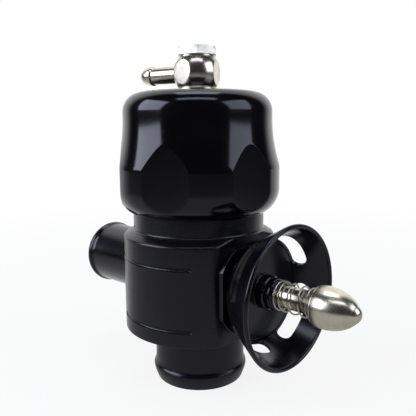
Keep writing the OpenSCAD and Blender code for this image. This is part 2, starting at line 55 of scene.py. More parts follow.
MM = 0.001
TINY = 1e-6
SMOOTH_ANGLE = math.radians(32)

# Sizes that several pieces share, in mm and degrees

PORT_Z = 39.1
BALL_Z = 113.55
BALL_R = 8.55
BALL_FLATS = 3
BALL_FLAT = 7.4
BALL_FLAT_TURN = 27.0
UNION_TURN = 12.0
THREAD_FIT = 0.04
SEAL_HALF = 0.7
SEAL_DEPTH = 1.1
FINE_EDGE = 0.15
SMALL_EDGE = 0.2
EDGE = 0.22
BROAD_EDGE = 0.3

Piece = bpy.types.Object
Array = np.ndarray
Point = tuple[float, float]
Colour = tuple[float, float, float, float]
Shape = Callable[[Array, Array, Array], Array]

BLACK: Colour = (0, 0, 0, 1)
WHITE: Colour = (1, 1, 1, 1)


class Way(Enum):
    """Axis that a turned piece stands on: its height in mm and its turns about Y and Z in degrees."""

    PISTON = (0.0, 0.0, 0.0)
    TRUMPET = (PORT_Z, 90.0, 0.0)
    OUTLET = (PORT_Z, -90.0, 0.0)
    NIPPLE = (BALL_Z, -90.0, UNION_TURN)

    @property
    def height(self) -> float:
        """Height of the axis in mm."""
        return self.value[0]

    def matrix(self) -> Matrix:
        """Place of the axis in the part's frame, in mm."""
        tilt, spin = (Matrix.Rotation(math.radians(a), 4, k) for a, k in zip(self.value[1:], "YZ"))
        return Matrix.Translation((0, 0, self.height)) @ spin @ tilt


class Slot(Enum):
    """Material slots of the record."""

    GLOSS = "gloss_black"
    SATIN = "satin_black"
    NICKEL = "nickel"
    WIRE = "spring_steel"
    WASHER = "washer_metal"


class Body(Enum):
    """Bodies of the frame that the new pieces move with."""

    HOUSING = "body"
    CAP = "cap"
    DISC = "vent_disc"


# Outlines


def arc(centre: Point, r: float, start: float, end: float, steps: int) -> list[Point]:
    """Points of a round arc between two angles in degrees."""
    turns = [math.radians(start + (end - start) * i / steps) for i in range(steps + 1)]
    return [(centre[0] + r * math.cos(t), centre[1] + r * math.sin(t)) for t in turns]


def bend(a: Point, b: Point, c: Point, steps: int) -> list[Point]:
    """Points that bend softly from a to c past the corner b.

    Args:
        a: first point.
        b: corner that is cut.
        c: last point.
        steps: number of pieces.

    Returns:
        The points from a to c.
    """
    first, corner, last = (np.array(p, float) for p in (a, b, c))
    shares = [i / steps for i in range(steps + 1)]
    points = [(1 - t) ** 2 * first + 2 * t * (1 - t) * corner + t * t * last for t in shares]
    return [(float(p[0]), float(p[1])) for p in points]


def eased(outline: Sequence[Point], radius: float, loop: bool) -> list[Point]:
    """Rounds the sharp corners of an outline and leaves its curves as they are.

    Args:
        outline: corners and curve points.
        radius: edge radius, limited by the sides that meet.
        loop: whether the outline closes on itself.

    Returns:
        The outline with its edges broken.
    """
    sharp, longest, steps = math.radians(14), 0.45, 4
    apart = [i == 0 or math.dist(p, outline[i - 1]) > TINY for i, p in enumerate(outline)]
    kept = [np.array(p, float) for p, own in zip(outline, apart) if own]
    count = len(kept)
    result: list[Point] = []
    for i, p in enumerate(kept):
        if not loop and i in (0, count - 1):
            result.append((float(p[0]), float(p[1])))
            continue
        back, ahead = kept[i - 1] - p, kept[(i + 1) % count] - p
        back_len, ahead_len = np.linalg.norm(back), np.linalg.norm(ahead)
        back, ahead = back / back_len, ahead / ahead_len
        turn = math.pi - math.acos(float(np.clip(back @ ahead, -1, 1)))
        if turn < sharp:
            result.append((float(p[0]), float(p[1])))
            continue
        reach = min(radius * math.tan(turn / 2), longest * back_len, longest * ahead_len)
        result += bend(tuple(p + back * reach), tuple(p), tuple(p + ahead * reach), steps)
    return result


def fold(az: Array, sides: int, turn: float) -> Array:
    """Angles in radians from the middle of the nearest of several flats, the first at turn degrees."""
    half = math.pi / sides
    return (az - math.radians(turn) + half) % (2 * half) - half


def soft_min(a: Array, b: Array, blend: float) -> Array:
    """Lesser of two values, with a rounded corner of the size blend between them."""
    near = np.maximum(blend - np.abs(a - b), 0) / blend
    return np.minimum(a, b) - near * near * blend / 4


def flats(sides: int, turn: float, half: float, blend: float) -> Shape:
    """Shape of a piece with flats all round, half mm from its axis, the first at turn degrees."""
    return lambda az, radius, along: soft_min(radius, half / np.cos(fold(az, sides, turn)), blend)


def seal_groove(r: float, at: float) -> list[Point]:
    """Corners of an O-ring's groove in a wall of radius r, from its low side up."""
    low, high, floor = at - SEAL_HALF, at + SEAL_HALF, r - SEAL_DEPTH
    return [(r, low), (floor, low), (floor, high), (r, high)]


# Meshes


def finished(name: str, verts: Array, faces: Sequence[Sequence[int]]) -> Piece:
    """Makes an object of points in mm, with outward faces and smooth shading.

    Args:
        name: name of the piece.
        verts: points in mm in the part's frame.
        faces: point numbers of each face.

    Returns:
        The new object.
    """
    mesh = bpy.data.meshes.new(name)
    mesh.from_pydata((verts * MM).tolist(), [], list(faces))
    work = bmesh.new()
    work.from_mesh(mesh)
    bmesh.ops.recalc_face_normals(work, faces=work.faces)
    work.to_mesh(mesh)
    work.free()
    piece = bpy.data.objects.new(name, mesh)
    bpy.context.scene.collection.objects.link(piece)
    smoothed(piece)
    return piece


def smoothed(piece: Piece) -> None:
    """Shades a piece smoothly and keeps its sharp edges."""
    piece.data.polygons.foreach_set("use_smooth", [True] * len(piece.data.polygons))
    piece.data.set_sharp_from_angle(angle=SMOOTH_ANGLE)


def placed(points: Array, way: Way) -> Array:
    """Moves points that are turned about Z, in mm, to the axis of a piece."""
    matrix = np.array(way.matrix())
    return points @ matrix[:3, :3].T + matrix[:3, 3]


def turned(
    name: str, outline: Sequence[Point], way: Way, steps: int, edge: float = EDGE, loop: bool = True,
    shape: Shape | None = None,
) -> Piece:
    """Turns an outline about an axis.

    Args:
        name: name of the piece.
        outline: radius and distance along the axis in mm; an open outline starts and ends on the axis.
        way: the axis.
        steps: pieces round the axis.
        edge: radius of its edges, zero for sharp ones.
        loop: whether the outline closes on itself.
        shape: changes the radius by angle, radius and distance, for flats and dents.

    Returns:
        The new piece.
    """
    rows = np.array(eased(outline, edge, loop) if edge else outline, float)
    count = len(rows)
    az = np.linspace(0, 2 * math.pi, steps, endpoint=False)[None, :].repeat(count, 0)
    radius, along = (rows[:, k][:, None].repeat(steps, 1) for k in (0, 1))
    radius = shape(az, radius, along) if shape else radius
    grid = np.stack([radius * np.cos(az), radius * np.sin(az), along], -1)
    number = np.arange(count * steps).reshape(count, steps)
    ahead = np.roll(number, -1, 1)
    spans = [(i, (i + 1) % count) for i in range(count if loop else count - 1)]
    faces: list[tuple[int, ...]] = []
    for i, k in spans:
        if rows[i, 0] < TINY:
            faces += list(zip([i * steps] * steps, number[k], ahead[k]))
        elif rows[k, 0] < TINY:
            faces += list(zip(number[i], ahead[i], [k * steps] * steps))
        else:
            faces += list(zip(number[i], ahead[i], ahead[k], number[k]))
    used = np.unique(np.concatenate([np.array(f) for f in faces]))
    place = np.zeros(count * steps, int)
    place[used] = np.arange(len(used))
    verts = placed(grid.reshape(-1, 3)[used], way)
    return finished(name, verts, [tuple(int(place[v]) for v in f) for f in faces])


def ring(name: str, radii: Point, ends: Point, way: Way, steps: int, edge: float = EDGE) -> Piece:
    """Turns a plain ring.

    Args:
        name: name of the piece.
        radii: its inner and outer radius, in mm.
        ends: where it starts and ends along the axis.
        way: the axis.
        steps: pieces round the axis.
        edge: radius of its edges.

    Returns:
        The new piece.
    """
    inner, outer = radii
    low, high = ends
    return turned(name, [(inner, low), (outer, low), (outer, high), (inner, high)], way, steps, edge)


def drill(name: str, r: float, ends: Point, way: Way, steps: int) -> Piece:
    """Makes the cutter of a round hole between two places along an axis, in mm."""
    low, high = ends
    return turned(name, [(0, low), (r, low), (r, high), (0, high)], way, steps, edge=0, loop=False)


def coiled(
    name: str, way: Way, start: float, length: float, r: float, wire: float, turns: float,
    part: Point = (0.0, 1.0),
) -> Piece:
    """Winds a round wire about an axis, close at both ends and open in the middle.

    Args:
        name: name of the piece.
        way: the axis.
        start: distance along the axis to the first end, in mm.
        length: length of the spring.
        r: radius to the middle of the wire.
        wire: thickness of the wire.
        turns: number of turns.
        part: shares of the wire where the piece starts and ends.

    Returns:
        The new spring.
    """
    closed, per_turn, sides = 0.72, 72, 14
    rings = round(turns * per_turn * (part[1] - part[0]))
    t = np.linspace(*part, rings + 1)[:, None]
    side = np.linspace(0, 2 * math.pi, sides, endpoint=False)[None, :]
    angle = 2 * math.pi * turns * t
    radius = r + wire / 2 * np.cos(side)
    rise = start + wire / 2 + (length - wire) * (t - closed * np.sin(2 * math.pi * t) / (2 * math.pi))
    along = rise + wire / 2 * np.sin(side)
    grid = np.stack([radius * np.cos(angle), radius * np.sin(angle), along], -1)
    number = np.arange((rings + 1) * sides).reshape(rings + 1, sides)
    ahead = np.roll(number, -1, 1)
    walls = np.stack([number[:-1], ahead[:-1], ahead[1:], number[1:]], -1).reshape(-1, 4)
    ends = [number[0].tolist(), number[-1][::-1].tolist()]
    return finished(name, placed(grid.reshape(-1, 3), way), walls.tolist() + ends)


def cut(piece: Piece, tools: Sequence[Piece], join: bool = False) -> Piece:
    """Cuts tools out of a piece, or joins them to it, and deletes the tools.

    Args:
        piece: the piece to work on.
        tools: the cutters or the pieces to add.
        join: whether the tools are added.

    Returns:
        The same piece with its new mesh.
    """
    for tool in tools:
        step = piece.modifiers.new("work", "BOOLEAN")
        step.object = tool
        step.operation = "UNION" if join else "DIFFERENCE"
        step.solver = "EXACT"
    graph = bpy.context.evaluated_depsgraph_get()
    mesh = bpy.data.meshes.new_from_object(piece.evaluated_get(graph))
    piece.modifiers.clear()
    old, piece.data = piece.data, mesh
    bpy.data.meshes.remove(old)
    for tool in tools:
        bpy.data.objects.remove(tool)
    smoothed(piece)
    return piece


# Shader maths


class Signal:
    """A socket of a shader whose arithmetic adds Math nodes."""

    def __init__(self, shader: "Shader", socket: bpy.types.NodeSocket) -> None:
        """Wraps an output socket of a shader."""
        self.shader = shader
        self.socket = socket

    def other(self, name: str) -> "Signal":
        """Another output of the same node."""
        return Signal(self.shader, self.socket.node.outputs[name])

    def math(self, operation: str, *values: "Signal | float") -> "Signal":
        """A Math node fed with this value and then others."""
        return self.shader.math(operation, self, *values)

    def __add__(self, other: "Signal | float") -> "Signal":
        """Sum."""
        return self.math("ADD", other)

    __radd__ = __add__

    def __mul__(self, other: "Signal | float") -> "Signal":
        """Product."""
        return self.math("MULTIPLY", other)

    __rmul__ = __mul__

    def __sub__(self, other: "Signal | float") -> "Signal":
        """Difference."""
        return self.math("SUBTRACT", other)

    def __rsub__(self, other: float) -> "Signal":
        """Difference from a number."""
        return self.shader.math("SUBTRACT", other, self)

    def __truediv__(self, other: "Signal | float") -> "Signal":
        """Quotient."""
        return self.math("DIVIDE", other)

    def __rtruediv__(self, other: float) -> "Signal":
        """A number divided by the value."""
        return self.shader.math("DIVIDE", other, self)

    def __pow__(self, other: "Signal | float") -> "Signal":
        """Power."""
        return self.math("POWER", other)

    def __rpow__(self, other: float) -> "Signal":
        """Power of a number."""
        return self.shader.math("POWER", other, self)

    def hypot(self, other: "Signal") -> "Signal":
        """Length across two directions at right angles."""
        return (self * self + other * other) ** 0.5

    def ramp(self, low: float, high: float, start: float = 0.0, end: float = 1.0) -> "Signal":
        """Maps the value from low to high on to start to end, with soft ends."""
        inputs = {"Value": self, "From Min": low, "From Max": high, "To Min": start, "To Max": end}
        return self.shader.node("ShaderNodeMapRange", {"interpolation_type": "SMOOTHSTEP"}, inputs)


Value = Signal | float | Sequence[float]


class Shader:
    """A node tree and the ways to add to it."""

    def __init__(self, tree: bpy.types.NodeTree) -> None:
        """Empties a node tree to start from."""
        self.tree = tree
        self.tree.nodes.clear()

    def node(
        self, kind: str, settings: dict[str, object], inputs: dict[str | int, Value], output: str | int = 0
    ) -> Signal:
        """Adds a node.

        Args:
            kind: the node's type.
            settings: its own settings, set first.
            inputs: values or links of its sockets.
            output: the socket that is wanted.

        Returns:
            The output socket.
        """
        made = self.tree.nodes.new(kind)
        for name, value in settings.items():
            setattr(made, name, value)
        for key, value in inputs.items():
            if isinstance(value, Signal):
                self.tree.links.new(value.socket, made.inputs[key])
            else:
                made.inputs[key].default_value = value
        return Signal(self, made.outputs[output] if len(made.outputs) else None)

    def math(self, operation: str, *values: Signal | float) -> Signal:
        """Adds a Math node that is fed with values in order."""
        return self.node("ShaderNodeMath", {"operation": operation}, dict(enumerate(values)))

    def rays(self) -> tuple[Signal, Signal]:
        """Whether a camera ray arrives, and whether one from a mirror or through glass does."""
        camera = self.node("ShaderNodeLightPath", {}, {}, "Is Camera Ray")
        return camera, camera.other("Is Glossy Ray") + camera.other("Is Transmission Ray")

    def place(self) -> tuple[Signal, Signal, Signal]:
        """Place on the part, in metres."""
        where = self.node("ShaderNodeTexCoord", {}, {}, "Object")
        split = self.node("ShaderNodeSeparateXYZ", {}, {0: where})
        return split, split.other("Y"), split.other("Z")

    def place_mm(self) -> tuple[Signal, ...]:
        """Place on the part, in mm."""
        return tuple(s * (1 / MM) for s in self.place())

    def about(self, way: Way) -> tuple[Signal, Signal]:
        """Place along an axis and distance from it, in mm.

        Args:
            way: the axis.

        Returns:
            The two distances.
        """
        x, y, z = self.place_mm()
        along, across = (z, x) if way is Way.PISTON else (x, z - way.height)
        return along, across.hypot(y)

    def noise(self, scale: float, detail: float = 3.0) -> Signal:
        """Cloudy noise over the part.

        Args:
            scale: clouds per metre.
            detail: octaves.

        Returns:
            The noise from 0 to 1.
        """
        where = self.node("ShaderNodeTexCoord", {}, {}, "Object")
        inputs = {"Vector": where, "Scale": scale, "Detail": detail, "Roughness": 0.55}
        return self.node("ShaderNodeTexNoise", {"noise_dimensions": "3D"}, inputs)

    def marks(self, place: Signal, pitch: float) -> Signal:
        """Uneven lines across one direction, such as tool marks, with place and pitch in mm."""
        inputs = {"W": place, "Scale": 1 / pitch, "Detail": 2.0, "Roughness": 0.6}
        return self.node("ShaderNodeTexNoise", {"noise_dimensions": "1D"}, inputs)

    def mix(self, share: Value, a: Value, b: Value) -> Signal:
        """Mixes two colours, with a share of the second."""
        return self.node("ShaderNodeMix", {"data_type": "RGBA"}, {0: share, 6: a, 7: b}, 2)

    def bump(self, height: Signal, depth: float) -> Signal:
        """Normal of a surface with a relief from 0 to 1 that is depth mm deep."""
        return self.node("ShaderNodeBump", {}, {"Strength": 1.0, "Distance": depth * MM, "Height": height})

    def surface(self, inputs: dict[str | int, Value]) -> None:
        """Ends a material with a principled surface."""
        made = self.node("ShaderNodeBsdfPrincipled", {}, inputs)
        self.node("ShaderNodeOutputMaterial", {}, {"Surface": made})


# Finishes


@dataclass(frozen=True)
class Finish(ABC):
    """A finish that a piece can wear."""

    name: str

    @abstractmethod
    def paint(self, shader: Shader) -> None:
        """Fills a material's node tree."""

    @functools.cache
    def material(self) -> bpy.types.Material:
        """The finish as a material, made once."""
        made = bpy.data.materials.new(self.name)
        made.use_nodes = True
        self.paint(Shader(made.node_tree))
        return made


@dataclass(frozen=True)
class Anodised(Finish):
    """Black anodised aluminium with faint tool marks round its axis."""

    way: Way
    dye: Colour
    bloom: Colour
    roughness: float
    swing: float
    pitch: float
    relief: float
    shine: float
    tint: Colour = (0.90, 0.90, 1.0, 1)
    etching: float = 0.35

    def paint(self, shader: Shader) -> None:
        """Dark dye that is a little uneven, with turned grain in its gloss and relief."""
        along, radial = shader.about(self.way)
        grain = shader.marks(along + radial, self.pitch)
        cloud = shader.noise(scale=90.0)
        etch = shader.noise(scale=5200.0, detail=2.0)
        rough = grain * self.swing + cloud * self.swing + (self.roughness - self.swing)
        shader.surface({
            "Base Color": shader.mix(cloud.ramp(0.35, 0.75), self.dye, self.bloom),
            "Roughness": rough,
            "Specular IOR Level": self.shine,
            "Specular Tint": self.tint,
            "Normal": shader.bump(grain + etch * self.etching, self.relief),
        })


@dataclass(frozen=True)
class Plated(Finish):
    """Bare or plated metal with tool marks round its axis."""

    way: Way
    bright: Colour
    dull: Colour
    roughness: float
    pitch: float
    relief: float

    def ring_place(self, shader: Shader) -> Signal:
        """Distance across the tool marks, in mm."""
        along, radial = shader.about(self.way)
        return along + radial

    def paint(self, shader: Shader) -> None:
        """Metal with fine tool marks and light wear."""
        swing, wear = 0.07, 0.10
        grain = shader.marks(self.ring_place(shader), self.pitch)
        cloud = shader.noise(scale=260.0)
        rough = grain * swing + cloud * wear + (self.roughness - (swing + wear) / 2)
        shader.surface({
            "Base Color": shader.mix(cloud.ramp(0.3, 0.75), self.bright, self.dull),
            "Metallic": 1.0,
            "Roughness": rough,
            "Normal": shader.bump(grain, self.relief),
        })


@dataclass(frozen=True)
class Faced(Plated):
    """Nickel plate with circles left by the facing tool on each flat of a ball."""

    sides: int
    turn: float
    flat_r: float

    def ring_place(self, shader: Shader) -> Signal:
        """Distance from the middle of a flat, or height where the ball is round, in mm."""
        fade = 0.05
        x, y, z = shader.place_mm()
        wedge = 2 * math.pi / self.sides
        angle = y.math("ARCTAN2", x) + (wedge / 2 - math.radians(self.turn))
        off = angle.math("FLOORED_MODULO", wedge) - wedge / 2
        side = off.math("SINE") * x.hypot(y)
        rise = z - self.way.height
        reach = side.hypot(rise)
        on_flat = reach.ramp(self.flat_r, self.flat_r + fade, 1.0, 0.0)
        return on_flat * reach + (1 - on_flat) * rise


@dataclass(frozen=True)
class Plain(Finish):
    """Rubber or plastic with a fine skin."""

    light: Colour
    dark: Colour
    roughness: float
    grain: float
    relief: float

    def paint(self, shader: Shader) -> None:
        """Uneven colour with a fine moulded skin."""
        swing = 0.2
        cloud = shader.noise(scale=180.0)
        skin = shader.noise(self.grain, detail=2.0)
        shader.surface({
            "Base Color": shader.mix(cloud, self.dark, self.light),
            "Roughness": skin * swing + (self.roughness - swing / 2),
            "Normal": shader.bump(skin, self.relief),
        })


class Finishes:
    """The finishes of this valve."""

    @staticmethod
    def gloss(name: str, way: Way, roughness: float) -> Anodised:
        """Polished black of the cap and the vent."""
        return Anodised(
            name=f"gloss_black_{name}", way=way,
            dye=(0.0015, 0.0013, 0.0026, 1), bloom=(0.0025, 0.0022, 0.0040, 1),
            roughness=roughness, swing=0.05, pitch=0.22, relief=0.0006, shine=0.5,
        )

    @staticmethod
    def satin(name: str, way: Way, roughness: float) -> Anodised:
        """Softer black of the body and the hose tails."""
        return Anodised(
            name=f"satin_black_{name}", way=way,
            dye=(0.0022, 0.0020, 0.0032, 1), bloom=(0.0040, 0.0037, 0.0055, 1),
            roughness=roughness, swing=0.07, pitch=0.3, relief=0.0012, shine=0.47,
        )

    @staticmethod
    def nickel(way: Way) -> Plated:
        """Warm polished plate of turned pieces."""
        return Plated(
            name=f"nickel_{way.name.lower()}", way=way,
            bright=(0.79, 0.75, 0.63, 1), dull=(0.66, 0.62, 0.50, 1),
            roughness=0.25, pitch=0.35, relief=0.0012,
        )

    @staticmethod
    def faced_nickel() -> Faced:
        """Plate of the banjo eye, with circles on its flats."""
        return Faced(
            name="nickel_faced", way=Way.NIPPLE, bright=(0.76, 0.72, 0.61, 1), dull=(0.60, 0.56, 0.46, 1),
            roughness=0.22, pitch=0.45, relief=0.0022,
            sides=BALL_FLATS, turn=BALL_FLAT_TURN, flat_r=math.sqrt(BALL_R ** 2 - BALL_FLAT ** 2),
        )

    @staticmethod
    def frosted() -> Plated:
        """Pale, blasted plate of the bolt."""
        return Plated(
            name="nickel_frosted", way=Way.PISTON, bright=(0.98, 0.95, 0.87, 1), dull=(0.93, 0.90, 0.82, 1),
            roughness=0.5, pitch=0.35, relief=0.001,
        )

    @staticmethod
    def wire(way: Way) -> Plated:
        """Drawn spring wire."""
        return Plated(
            name=f"wire_{way.name.lower()}", way=way,
            bright=(0.76, 0.74, 0.69, 1), dull=(0.56, 0.54, 0.50, 1),
            roughness=0.24, pitch=0.2, relief=0.0008,
        )

    @staticmethod
    def washer() -> Plated:
        """Turned washer metal."""
        return Plated(
            name="washer_metal", way=Way.PISTON, bright=(0.72, 0.69, 0.63, 1), dull=(0.55, 0.52, 0.47, 1),
            roughness=0.26, pitch=0.18, relief=0.001,
        )

    @staticmethod
    def aluminium() -> Plated:
        """Turned bare aluminium."""
        return Plated(
            name="bare_aluminium", way=Way.PISTON, bright=(0.78, 0.78, 0.78, 1), dull=(0.62, 0.62, 0.63, 1),
            roughness=0.28, pitch=0.16, relief=0.0012,
        )

    @staticmethod
    def rubber() -> Plain:
        """Black seal rubber."""
        return Plain(
            name="seal_rubber", light=(0.026, 0.026, 0.027, 1), dark=(0.012, 0.012, 0.013, 1),
            roughness=0.6, grain=3000.0, relief=0.004,
        )

    @staticmethod
    def plastic() -> Plain:
        """Pale guide ring plastic."""
        return Plain(
            name="guide_plastic", light=(0.84, 0.82, 0.76, 1), dark=(0.74, 0.71, 0.64, 1),
            roughness=0.45, grain=2200.0, relief=0.003,
        )


# Sub-assemblies


@dataclass
class Assembly(ABC):
    """A group of pieces that are built and dressed together."""

    pieces: list[str] = field(default_factory=list)

    @abstractmethod
    def build(self) -> None:
        """Makes and dresses the pieces."""

    def dress(self, piece: Piece, node: str, body: Body, slot: Slot, finish: Finish) -> None:
        """Puts a new piece in the place of a node.

        Args:
            piece: the new piece.
            node: the node that it stands for.
            body: the body that it moves with.
            slot: not used.
            finish: its finish.
        """
        piece.data.materials.clear()
        piece.data.materials.append(finish.material())
        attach(piece, body.value)
        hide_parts(node)
        self.pieces.append(piece.name)
        LOG.info("%s: %d faces on %s", piece.name, len(piece.data.polygons), body.value)

    def dress_nodes(self, finish: Finish, *nodes: str) -> None:
        """Gives nodes of the frame their finish.

        Args:
            finish: the finish.
            nodes: the nodes' names.
        """
        for node in nodes:
            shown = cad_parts[node]
            shown.data.materials.clear()
            shown.data.materials.append(finish.material())
            self.pieces.append(node)
            LOG.info("%s: node of the frame", node)


@dataclass
class HoseTail:
    """Outer form of a hose tail: taper, bead and tube, in mm."""

    r: float
    rise: float
    crest: float
    nose: float
    edge: float = 0.5
    back: float = 1.2

    def outline(self, length: float) -> list[Point]:
        """Points from the end face to a shoulder.

        Args:
            length: distance from the end to the shoulder.

        Returns:
            Radius and distance from the end.
        """
        nose_r = self.r - self.nose
        top = (self.r + self.rise, self.crest)
        slope = (self.r + self.rise / 2, self.crest + self.back)
        foot = [(self.r, self.crest + share * self.back) for share in (1.5, 2.5)]
        return [
            *arc((nose_r - self.edge, self.edge), self.edge, -90, 0, 8),
            *bend((nose_r, self.edge), (self.r + self.rise, self.crest - self.back), top, 14)[1:],
            *bend(top, (self.r + self.rise, self.crest + self.back / 2), slope, 8)[1:],
            *bend(slope, *foot, 8)[1:],
            (self.r, length),
        ]


@dataclass
class PortFlange:
    """Square flange with round corners and a threaded stub behind it, in mm."""

    stub_r: float = 13.46
    stub_end: float = 19.7
    face: float = 23.8
    out: float = 25.8
    half_width: float = 15.0
    corner_r: float = 17.0
    seal_at: float = 21.75
    flat_from: float = 2.0
    blend: float = 0.15

    def outline(self, bore: float, neck: float) -> list[Point]:
        """Points from the bore round the stub and the flange to the neck.

        Args:
            bore: radius of the bore.
            neck: radius of what stands in front of the flange.

        Returns:
            Radius and distance along the port.
        """
        return [
            (bore, self.stub_end), (self.stub_r, self.stub_end), *seal_groove(self.stub_r, self.seal_at),
            (self.stub_r, self.face), (self.corner_r, self.face), (self.corner_r, self.out), (neck, self.out),
        ]

    def shape(self, az: Array, radius: Array, along: Array) -> Array:
        """Cuts the four flats of the flange.

        Args:
            az: angles about the port.
            radius: radii before the cut.
            along: distances along the port.

        Returns:
            Radii after the cut.
        """
        flat = (self.half_width - (self.corner_r - radius)) / np.cos(fold(az, 4, 0))
        thick = (along >= self.face - EDGE) & (along <= self.out + EDGE)
        inside = thick & (radius > self.stub_r + self.flat_from)
        return np.where(inside, soft_min(radius, flat, self.blend), radius)


@dataclass
class ValveBody(Assembly):
    """Body with its inlet and outlet hose tails, in mm."""

    base_z: float = 21.0
    floor_z: float = 27.0
    seat_z: float = 27.6
    shoulder_z: float = 55.6
    neck_z: float = 57.4
    top_z: float = 76.5
    r: float = 28.0
    neck_r: float = 24.2
    root: float = 0.9
    soft: float = 0.6
    soft_rise: float = 0.4
    chamfer: float = 1.0
    bore_r: float = 19.0
    thread_r: float = 16.0
    flat: float = PortFlange.face
    flat_edge: float = 1.2
    port_r: float = 13.5
    port_drill: Point = (10.0, 40.0)
    groove_z: Point = (26.6, 48.0)
    groove_r: float = 0.65
    groove_span: float = 76.0
    groove_az: float = -90.0
    seal_z: float = 72.6
    inlet_bore: float = 14.0
    inlet_seal_z: float = 23.0
    inlet_mouth: Point = (0.8, 1.0)
    seat_chamfer: float = 0.4
    outlet_bore: float = 10.0
    outlet_end: float = 58.0
    outlet_mouth: float = 0.6
    inlet_tail: HoseTail = field(default_factory=lambda: HoseTail(17.0, 0.8, 4.6, 0.4))
    outlet_tail: HoseTail = field(default_factory=lambda: HoseTail(12.5, 0.75, 3.2, 0.9))
    flange: PortFlange = field(default_factory=PortFlange)

    def wall(self) -> list[Point]:
        """Straight wall of the body, close-set where the grooves are."""
        rows, past = 15, 1.12
        offsets = np.sin(np.linspace(-math.pi / 2, math.pi / 2, rows)) * self.groove_r * past
        return [(self.r, z + float(offset)) for z in self.groove_z for offset in offsets]

    def shape(self, az: Array, radius: Array, along: Array) -> Array:
        """Cuts the port flats and presses the grooves.

        Args:
            az: angles about the piston's axis.
            radius: radii before the cuts.
            along: heights.

        Returns:
            Radii after the cuts.
        """
        least_cos, least_wall = 0.2, 1.0
        outside = (along <= self.neck_z) & (radius > self.bore_r + least_wall)
        flat = self.flat / np.maximum(np.abs(np.cos(az)), least_cos)
        result = np.where(outside, soft_min(radius, flat, self.flat_edge), radius)
        half = math.radians(self.groove_span / 2)
        past = np.maximum(np.abs(fold(az, 1, self.groove_az)) - half, 0) * self.r
        for z in self.groove_z:
            away = np.hypot(past, along - z)
            depth = np.sqrt(np.maximum(self.groove_r ** 2 - away ** 2, 0))
            result = np.where(radius > self.r - EDGE, result - depth, result)
        return result

    def body(self) -> Piece:
        """The turned body with its two port holes."""
        corner = self.shoulder_z
        slope = [(self.r - self.soft, corner + self.soft_rise), (self.neck_r + self.root, self.neck_z)]
        outline = [
            (self.thread_r, self.base_z), (self.r, self.base_z), *self.wall(),
            *bend((self.r, corner - self.soft), (self.r, corner), slope[0], 8),
            *bend(slope[0], tuple(np.mean(slope, 0)), slope[1], 14)[1:-1],
            *arc((self.neck_r + self.root, self.neck_z + self.root), self.root, 270, 180, 10),
            *seal_groove(self.neck_r, self.seal_z),
            (self.neck_r, self.top_z - self.chamfer), (self.neck_r - self.chamfer, self.top_z),
            (self.bore_r, self.top_z), (self.bore_r, self.floor_z), (self.thread_r, self.floor_z),
        ]
        piece = turned("body_shell", outline, Way.PISTON, steps=640, edge=BROAD_EDGE, shape=self.shape)
        ways = (Way.TRUMPET, Way.OUTLET)
        drills = [drill(f"drill_{way.name}", self.port_r, self.port_drill, way, steps=160) for way in ways]
        return cut(piece, drills)

    def inlet(self) -> Piece:
        """The inlet hose tail with its seat."""
        r, bore, chamfer = self.thread_r - THREAD_FIT, self.inlet_bore, self.seat_chamfer
        wide, deep = self.inlet_mouth
        outline = [
            *self.inlet_tail.outline(self.base_z), (r, self.base_z), *seal_groove(r, self.inlet_seal_z),
            (r, self.seat_z - chamfer), (r - chamfer, self.seat_z), (bore + chamfer, self.seat_z),
            (bore, self.seat_z - chamfer), (bore, deep), (bore + wide, 0),
        ]
        return turned("inlet_tail", outline, Way.PISTON, steps=256, edge=FINE_EDGE)

    def outlet(self) -> Piece:
        """The outlet hose tail with its flange."""
        tail = self.outlet_tail.outline(self.outlet_end - self.flange.out)
        outline = [
            *self.flange.outline(self.outlet_bore, self.outlet_tail.r),
            *[(r, self.outlet_end - s) for r, s in reversed(tail[:-1])],
            (self.outlet_bore + self.outlet_mouth, self.outlet_end),
            (self.outlet_bore, self.outlet_end - self.outlet_mouth),
        ]
        return turned("outlet_tail", outline, Way.OUTLET, steps=256, shape=self.flange.shape)

    def build(self) -> None:
        """Makes and dresses the body and its hose tails."""
        for make, node, name, way, roughness in (
            (self.body, "valve_body", "body", Way.PISTON, 0.28),
            (self.inlet, "inlet_spigot", "inlet", Way.PISTON, 0.22),
            (self.outlet, "outlet_spigot", "outlet", Way.OUTLET, 0.19),
        ):
            self.dress(make(), node, Body.HOUSING, Slot.SATIN, Finishes.satin(name, way, roughness))
        self.dress_nodes(Finishes.rubber(), "inlet_oring", "outlet_oring", "cap_oring", "trumpet_oring")


